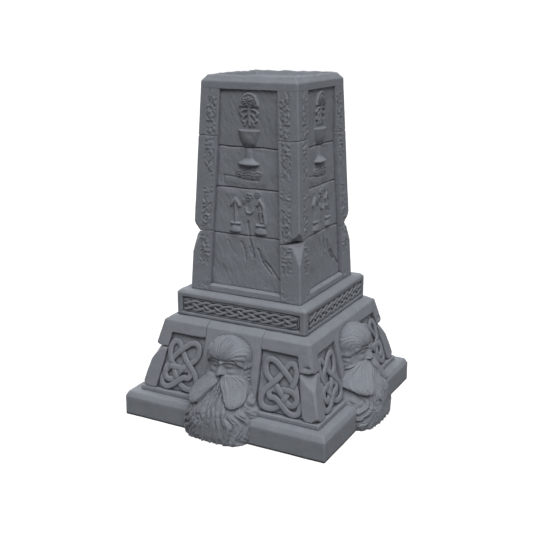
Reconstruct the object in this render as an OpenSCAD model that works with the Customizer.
// Carved stone pillar, a free-standing monument. A square slab carries a low step and a
// battered pedestal with knotwork panels, and a bearded head leans out of each side. Above
// them stand a band block and a tapering shaft of coursed ashlar with a chamfered top.
// Millimetres. +Z is up, the origin is on the ground under the centre, the front faces -Y.

/* [Base] */
// Width of the square base slab
slab_w = 2000; // [1900:10:2200]
// Height of the base slab, with its sloping top edge
slab_h = 224; // [190:1:280]
// Height of the slab's sloping top edge
slab_bevel_h = 46; // [10:1:80]
// How far the slab's sloping top edge leans in
slab_bevel_in = 26; // [5:1:40]
// Height of the step course on the slab
step_h = 40; // [25:1:60]
// How far the step course's foot stands out past the pedestal's foot
step_out = 20; // [10:1:35]
// How far the step course's face leans in
step_lean = 24; // [5:1:24]

/* [Pedestal] */
// Width of the pedestal's foot
pedestal_w = 1760; // [1700:10:1800]
// Height of the pedestal
pedestal_h = 652; // [560:1:760]
// Lean of the pedestal's faces, as run over rise
pedestal_batter = 0.26; // [0.2:0.01:0.28]
// Height of the lower pier blocks
pier_h = 376; // [300:1:420]
// Height of the rail at the pedestal's head
rail_h = 141; // [110:1:160]
// Width of a pier's face at its foot
pier_foot_w = 140; // [125:1:160]
// Width of a pier's face under the rail
pier_head_w = 117; // [112:1:122]
// Chamfer on the piers' outer corners
pier_chamfer = 50; // [20:1:60]
// Chamfer around the pedestal's top edge
pedestal_edge = 30; // [10:1:35]
// Plain margin of the pilaster on each side of the head stone
pilaster_margin = 30; // [20:1:50]
// Depth from the pedestal's foot line to the back of the pilasters
pilaster_depth = 260; // [240:2:280]
// Depth of the knot panels below the pedestal's faces
panel_recess = 50; // [30:1:55]
// Thickness of the knot panel stones
panel_t = 60; // [40:1:70]

/* [Heads] */
// Width of the stone that each head is carved from, where it is let into the pillar
head_stone_w = 500; // [490:2:520]
// Depth from the pedestal's foot line to the flat back of the head stones
head_stone_depth = 180; // [160:2:200]
// How far the beards stand out past the slab
beard_out = 143; // [110:1:160]
// Height of a head's crown above the step course
crown_h = 616; // [560:1:640]
// Half the width of a head at the hair
hair_half_w = 225; // [200:1:235]
// Half the width of a beard where it meets the ground
beard_half_w = 310; // [280:1:320]

/* [Band block] */
// Width of the band block
band_w = 1290; // [1250:10:1310]
// Height of the band block
band_h = 230; // [190:1:270]
// Chamfer around the band block's top edge
band_edge = 21; // [10:1:30]
// Chamfer on the band block's corners
band_chamfer = 35; // [15:1:50]
// Depth of the sunk band on each side
band_recess = 22; // [10:1:30]
// Height of the sunk band
band_panel_h = 142; // [90:1:150]
// Height of the plain strip under the sunk band
band_foot_h = 32; // [20:1:55]
// Plain width at each end of the sunk band
band_end_w = 50; // [45:1:90]

/* [Shaft] */
// Width of the shaft's foot
shaft_w = 1086; // [1020:2:1180]
// Height of the shaft
shaft_h = 1888; // [1600:1:2260]
// Lean of the shaft's faces, as run over rise
shaft_batter = 0.0482; // [0.03:0.001:0.055]
// Width of a corner post's face
post_w = 184; // [150:1:200]
// Height of the sill under the sunk faces
sill_h = 67; // [40:1:90]
// Slope on the sill's top edge
sill_edge = 20; // [8:1:26]
// Depth of the sunk faces below the posts
face_recess = 27; // [15:1:35]
// Thickness of the stones in the sunk faces
face_t = 80; // [50:1:90]
// Chamfer on the shaft's vertical corners
shaft_chamfer = 14; // [4:1:25]
// Height of the top course
cap_h = 116; // [100:1:160]
// Height of the chamfer around the top
cap_edge_h = 64; // [30:1:80]
// How far the chamfer around the top leans in
cap_edge_in = 43; // [20:1:60]
// Depth of the worn hollow in the top
cap_hollow = 14; // [5:1:25]

/* [Joints] */
// Open joint beside sloping stones
side_gap = 2; // [1:0.5:3]
// Joint between the stones of a sunk face
bed_gap = 4; // [3:0.5:8]

/* [Hidden] */
SIDES = ["front", "right", "back", "left"];
CORNERS = ["front_right", "back_right", "back_left", "front_left"];

// Levels, from the ground up
step_z = slab_h;
pedestal_z = step_z + step_h;
pier_joint_z = pedestal_z + pier_h;
band_z = pedestal_z + pedestal_h;
rail_z = band_z - rail_h;
shaft_z = band_z + band_h;
sill_z = shaft_z + sill_h;
top_z = shaft_z + shaft_h;
cap_z = top_z - cap_h;

// Joints in the posts and in the sunk faces, as shares of the height between the foot and
// the top course
post_joint_shares = [0.2985, 0.7754];
face_joint_shares = [0.3014, 0.5310, 0.7302];
post_joint_z = [for (share = post_joint_shares) shaft_z + share * (cap_z - shaft_z)];
face_joint_z = [for (share = face_joint_shares) shaft_z + share * (cap_z - shaft_z)];

slab_half = slab_w / 2;
foot_half = pedestal_w / 2;
step_half = foot_half + step_out;
band_half = band_w / 2;
shaft_half = shaft_w / 2;
pilaster_half = head_stone_w / 2 + pilaster_margin;
pilaster_back = foot_half - pilaster_depth;
head_back = foot_half - head_stone_depth;
head_stone_half = head_stone_w / 2;
reach = slab_w; // longer than any piece is wide, for cuts that run right through

// A head is a stack of lumps, each reaching from one ball to another. A ball is its distance
// to the side, out from the pedestal's foot face and down from the crown, and its radius
hair_round = 0.8; // the hair's radius, as a share of its half width
hair_set_back = 70;
hair_slope = [30, 90]; // how far the hair's mass leans out, and down, over the brow
brow_balls = [[60, 30, 195, 55], [150, -60, 215, 60]];
face_balls = [[0, -25, 290, 130], [0, 10, 400, 110]];
nose_balls = [[0, 60, 215, 26], [0, 125, 300, 34]];
lip_balls = [[20, 80, 345, 62], [85, 80, 385, 70]];
ear_balls = [[215, -70, 250, 30], [205, -70, 320, 28]];
chin_ball = [0, -10, 400, 150];
// The moustache's tip: to the side, behind the beard's front, above the pedestal's foot, radius
tip_ball = [185, 110, 95, 48];
// The beard's side, the same way but behind the foot face, and its balls over the slab's edge
beard_side_ball = [145, 20, 120, 100];
beard_fold = [130, 110]; // to the side, radius
beard_fall = [150, 90]; // to the side, radius
beard_hem = [60, 90]; // radius, height above the ground
beard_front = [70, 120]; // radius, height above the ground
lump_facets = 20;
mass_facets = 24;
function head_ball(ball) = [ball[0], -(foot_half + ball[1]), pedestal_z + crown_h - ball[2]];

// Half width of the pedestal's and of the shaft's outer faces at a height
function pedestal_at(z) = foot_half - pedestal_batter * (z - pedestal_z);
function shaft_at(z) = shaft_half - shaft_batter * (z - shaft_z);
// Distance from the centre to a pier's inner edge, and to a post's, at a height
function pier_edge_at(z) = pedestal_at(z) - pier_foot_w
    + (pier_foot_w - pier_head_w) * (z - pedestal_z) / (rail_z - pedestal_z);
function post_edge_at(z) = shaft_at(z) - post_w;
// Half width of the rubble-filled cores at a height
function core_at(z) = pedestal_at(z) - panel_recess - panel_t - side_gap;
function shaft_core_at(z) = shaft_at(z) - face_recess - face_t - side_gap;

stone = [0.45, 0.46, 0.49];
dark_stone = [0.38, 0.39, 0.42];
pale_stone = [0.52, 0.54, 0.57];

// An upright outline in X and Z, carried along Y
module prism_along_y(outline)
    rotate([90, 0, 0]) linear_extrude(height = 2 * reach, center = true) polygon(outline);

// The same outline carried along X, facing -Y
module prism_along_x(outline)
    rotate([0, 0, -90]) prism_along_y(outline);

// Four-cornered outline from inner and outer distances at a foot and a head
function flank(in_foot, out_foot, in_head, out_head, z0, z1) =
    [[in_foot, z0], [out_foot, z0], [out_head, z1], [in_head, z1]];

// Square block whose four faces lean in evenly
module battered_block(foot, head, z0, z1)
{
    intersection() {
        prism_along_y(flank(-foot, foot, -head, head, z0, z1));
        prism_along_x(flank(-foot, foot, -head, head, z0, z1));
    }
}

// Battered block turned by 45 degrees, which cuts the corners of a block by a chamfer
module corner_cutter(foot, head, chamfer, z0, z1)
{
    diagonal = sqrt(2);
    rotate([0, 0, 45])
        battered_block(foot * diagonal - chamfer / diagonal,
            head * diagonal - chamfer / diagonal, z0, z1);
}

// Everything between two levels
module between(z0, z1)
    translate([-reach, -reach, z0]) cube([2 * reach, 2 * reach, z1 - z0]);

// A piece on the front turned to side number 0 to 3, counted from the front by the right
module on_side(number)
    rotate([0, 0, 90 * number]) children();

module slab_block()
{
    union() {
        translate([-slab_half, -slab_half, 0]) cube([slab_w, slab_w, slab_h - slab_bevel_h]);
        battered_block(slab_half, slab_half - slab_bevel_in, slab_h - slab_bevel_h, slab_h);
    }
}

module step_block()
    battered_block(step_half, step_half - step_lean, step_z, pedestal_z);

// The pedestal's outer form, with chamfered corners and top edge
module pedestal_form()
{
    edge_z = band_z - pedestal_edge;
    intersection() {
        union() {
            battered_block(foot_half, pedestal_at(edge_z), pedestal_z, edge_z);
            battered_block(pedestal_at(edge_z), pedestal_at(edge_z) - pedestal_edge,
                edge_z, band_z);
        }
        corner_cutter(foot_half, pedestal_at(band_z), pier_chamfer, pedestal_z, band_z);
    }
}

// The seat of the front head stone, a flat-backed chase from the ground to the crown
module head_chase()
    translate([-head_stone_half, -reach, 0])
        cube([head_stone_w, reach - head_back, pedestal_z + crown_h]);

module all_head_chases()
    for (number = [0:3]) on_side(number) head_chase();

module base_slab()
{
    color(stone) difference() {
        slab_block();
        all_head_chases();
    }
}

module step_course()
{
    color(stone) difference() {
        step_block();
        all_head_chases();
    }
}

module core_form()
{
    union() {
        battered_block(core_at(pedestal_z), core_at(rail_z), pedestal_z, rail_z);
        battered_block(pilaster_back, pilaster_back, rail_z, band_z);
    }
}

// The slot in the core that a pilaster is let into
module pilaster_slot(depth)
    translate([-pilaster_half, -reach, pedestal_z])
        cube([2 * pilaster_half, reach - depth, pedestal_h]);

module pedestal_core()
{
    color(dark_stone) difference() {
        core_form();
        for (number = [0:3]) on_side(number) pilaster_slot(pilaster_back);
    }
}

module pilaster(number)
{
    color(stone) on_side(number) difference() {
        intersection() {
            pedestal_form();
            pilaster_slot(pilaster_back);
        }
        head_chase();
    }
}

module knot_panel()
{
    intersection() {
        prism_along_y(flank(pilaster_half, pier_edge_at(pedestal_z) - side_gap,
            pilaster_half, pier_edge_at(rail_z) - side_gap, pedestal_z, rail_z));
        prism_along_x(flank(core_at(pedestal_z) + side_gap,
            pedestal_at(pedestal_z) - panel_recess, core_at(rail_z) + side_gap,
            pedestal_at(rail_z) - panel_recess, pedestal_z, rail_z));
    }
}

module knot_panels(number)
{
    color(dark_stone) on_side(number) {
        knot_panel();
        mirror([1, 0, 0]) knot_panel();
    }
}

// The corner zone outside a pier's two inner edges, at the front right
module pier_zone(z0, z1)
{
    outline = flank(pier_edge_at(z0), reach, pier_edge_at(z1), reach, z0, z1);
    intersection() {
        prism_along_y(outline);
        prism_along_x(outline);
    }
}

// What the core takes out of the corner stones, with its open joint
module core_room()
    battered_block(core_at(pedestal_z) + side_gap, core_at(rail_z) + side_gap,
        pedestal_z, rail_z);

module pier(number)
{
    color(stone) on_side(number) difference() {
        intersection() {
            pedestal_form();
            pier_zone(pedestal_z, pier_joint_z);
        }
        core_room();
    }
}

// A corner's share of the rail, reaching to the pilasters on both sides
module rail_arms()
{
    difference() {
        intersection() {
            pedestal_form();
            between(rail_z, band_z);
            translate([pilaster_half, -reach, 0]) cube([reach, reach - pilaster_half, reach]);
        }
        translate([0, -pilaster_back, 0]) cube([pilaster_back, pilaster_back, reach]);
    }
}

module capstone(number)
{
    color(pale_stone) on_side(number) union() {
        rail_arms();
        difference() {
            intersection() {
                pedestal_form();
                pier_zone(pier_joint_z, rail_z);
            }
            core_room();
        }
    }
}

// A rounded lump that reaches from one ball to another
module lump(from, from_r, to, to_r)
{
    hull() {
        translate(from) sphere(r = from_r, $fn = lump_facets);
        translate(to) sphere(r = to_r, $fn = lump_facets);
    }
}

// A lump and its mirror image
module lump_pair(from, from_r, to, to_r)
{
    lump(from, from_r, to, to_r);
    mirror([1, 0, 0]) lump(from, from_r, to, to_r);
}

// A ball and its mirror image, as corners of a hull
module ball_pair(at, radius)
{
    for (side = [-1, 1])
        translate([side * at[0], at[1], at[2]]) sphere(r = radius, $fn = mass_facets);
}

// The head's lumps before they are cut to the niche: hair, brows, face, nose, moustache, ears,
// and the beard in two masses, above and beside the slab's edge
module head_form()
{
    crown_z = pedestal_z + crown_h;
    hair_r = hair_round * hair_half_w;
    hair_y = -(foot_half - hair_set_back);
    beard_y = -(slab_half + beard_out);
    hem_x = beard_half_w - beard_hem[0];
    lump_pair([hair_half_w - hair_r, hair_y, crown_z - hair_r], hair_r,
        [hair_half_w - hair_r, hair_y - hair_slope[0], crown_z - hair_r - hair_slope[1]], hair_r);
    for (balls = [brow_balls, lip_balls, ear_balls])
        lump_pair(head_ball(balls[0]), balls[0][3], head_ball(balls[1]), balls[1][3]);
    for (balls = [face_balls, nose_balls])
        lump(head_ball(balls[0]), balls[0][3], head_ball(balls[1]), balls[1][3]);
    lump_pair(head_ball(lip_balls[1]), lip_balls[1][3],
        [tip_ball[0], beard_y + tip_ball[1], pedestal_z + tip_ball[2]], tip_ball[3]);
    hull() {
        translate(head_ball(chin_ball)) sphere(r = chin_ball[3], $fn = mass_facets);
        ball_pair([beard_side_ball[0], -(foot_half - beard_side_ball[1]),
            pedestal_z + beard_side_ball[2]], beard_side_ball[3]);
        ball_pair([beard_fold[0], -slab_half, slab_h], beard_fold[1]);
    }
    hull() {
        ball_pair([beard_fall[0], -slab_half, slab_h], beard_fall[1]);
        ball_pair([hem_x, -slab_half, beard_hem[1]], beard_hem[0]);
        ball_pair([hem_x, -slab_half, 0], beard_hem[0]);
        translate([0, beard_y + beard_front[0], beard_front[1]])
            sphere(r = beard_front[0], $fn = mass_facets);
        translate([0, beard_y + beard_front[0], 0])
            sphere(r = beard_front[0], $fn = mass_facets);
    }
}

// Where the front head may stand: above ground, clear of the slab beside its chase and
// clear of the pedestal's faces beside the niche
module head_room()
{
    difference() {
        translate([-reach, -reach, 0]) cube([2 * reach, reach - head_back, reach]);
        difference() {
            union() {
                translate([-reach, -slab_half - side_gap, 0])
                    cube([2 * reach, reach, slab_h + side_gap]);
                battered_block(step_half + side_gap, pedestal_at(pedestal_z) + side_gap,
                    step_z, pedestal_z);
                battered_block(pedestal_at(pedestal_z) + side_gap,
                    pedestal_at(band_z) + side_gap, pedestal_z, band_z);
            }
            head_chase();
        }
    }
}

module bearded_head(number)
{
    color(pale_stone) on_side(number) union() {
        intersection() {
            head_form();
            head_room();
        }
        intersection() {
            head_chase();
            union() {
                slab_block();
                step_block();
                pedestal_form();
            }
        }
    }
}

module band_block()
{
    edge_z = shaft_z - band_edge;
    color(stone) difference() {
        intersection() {
            union() {
                battered_block(band_half, band_half, band_z, edge_z);
                battered_block(band_half, band_half - band_edge, edge_z, shaft_z);
            }
            corner_cutter(band_half, band_half, band_chamfer, band_z, shaft_z);
        }
        for (number = [0:3]) on_side(number)
            translate([band_end_w - band_half, -reach, band_z + band_foot_h])
                cube([band_w - 2 * band_end_w, reach - band_half + band_recess, band_panel_h]);
    }
}

module shaft_core()
    color(dark_stone)
        battered_block(shaft_core_at(shaft_z), shaft_core_at(cap_z), shaft_z, cap_z);

// The shaft's outer form below the top course, with eased corners
module shaft_form()
{
    intersection() {
        battered_block(shaft_half, shaft_at(cap_z), shaft_z, cap_z);
        corner_cutter(shaft_half, shaft_at(cap_z), shaft_chamfer, shaft_z, cap_z);
    }
}

module shaft_core_room()
    battered_block(shaft_core_at(shaft_z) + side_gap, shaft_core_at(cap_z) + side_gap,
        shaft_z, cap_z);

// One stone of a corner post between two levels
module post_stone(number, z0, z1)
{
    outline = flank(post_edge_at(z0), reach, post_edge_at(z1), reach, z0, z1);
    color(stone) on_side(number) difference() {
        intersection() {
            shaft_form();
            prism_along_y(outline);
            prism_along_x(outline);
        }
        shaft_core_room();
    }
}

// A stone of the front's sunk face, standing out to a given depth below the posts
module face_stone(depth, z0, z1)
{
    half0 = post_edge_at(z0) - side_gap;
    half1 = post_edge_at(z1) - side_gap;
    intersection() {
        prism_along_y(flank(-half0, half0, -half1, half1, z0, z1));
        prism_along_x(flank(shaft_core_at(z0) + side_gap, shaft_at(z0) - depth,
            shaft_core_at(z1) + side_gap, shaft_at(z1) - depth, z0, z1));
    }
}

module shaft_face(number)
{
    beds = concat([sill_z - bed_gap / 2], face_joint_z, [cap_z + bed_gap / 2]);
    color(stone) on_side(number)
        for (course = [0:len(beds) - 2])
            face_stone(face_recess, beds[course] + bed_gap / 2,
                beds[course + 1] - bed_gap / 2);
}

// The sills close the foot of each sunk face, with a sloping top edge
module shaft_sills()
{
    slope_z = sill_z - sill_edge;
    outline = [[0, shaft_z], [shaft_half, shaft_z], [shaft_at(slope_z), slope_z],
        [shaft_at(sill_z) - sill_edge, sill_z], [0, sill_z]];
    color(pale_stone) for (number = [0:3]) on_side(number) intersection() {
        face_stone(0, shaft_z, sill_z);
        prism_along_x(outline);
    }
}

module shaft_cap()
{
    edge_z = top_z - cap_edge_h;
    head_half = shaft_at(edge_z) - cap_edge_in;
    hollow_half = head_half - cap_edge_in;
    color(pale_stone) difference() {
        intersection() {
            union() {
                battered_block(shaft_at(cap_z), shaft_at(edge_z), cap_z, edge_z);
                battered_block(shaft_at(edge_z), head_half, edge_z, top_z);
            }
            corner_cutter(shaft_at(cap_z), shaft_at(top_z), shaft_chamfer, cap_z, top_z);
        }
        translate([-hollow_half, -hollow_half, top_z - cap_hollow])
            cube([2 * hollow_half, 2 * hollow_half, cap_hollow + 1]);
    }
}

base_slab();
step_course();
pedestal_core();
band_block();
shaft_core();
shaft_sills();
shaft_cap();
for (number = [0:3]) {
    knot_panels(number);
    pilaster(number);
    bearded_head(number);
    shaft_face(number);
    pier(number);
    capstone(number);
    post_stone(number, shaft_z, post_joint_z[0]);
    post_stone(number, post_joint_z[0], post_joint_z[1]);
    post_stone(number, post_joint_z[1], cap_z);
}
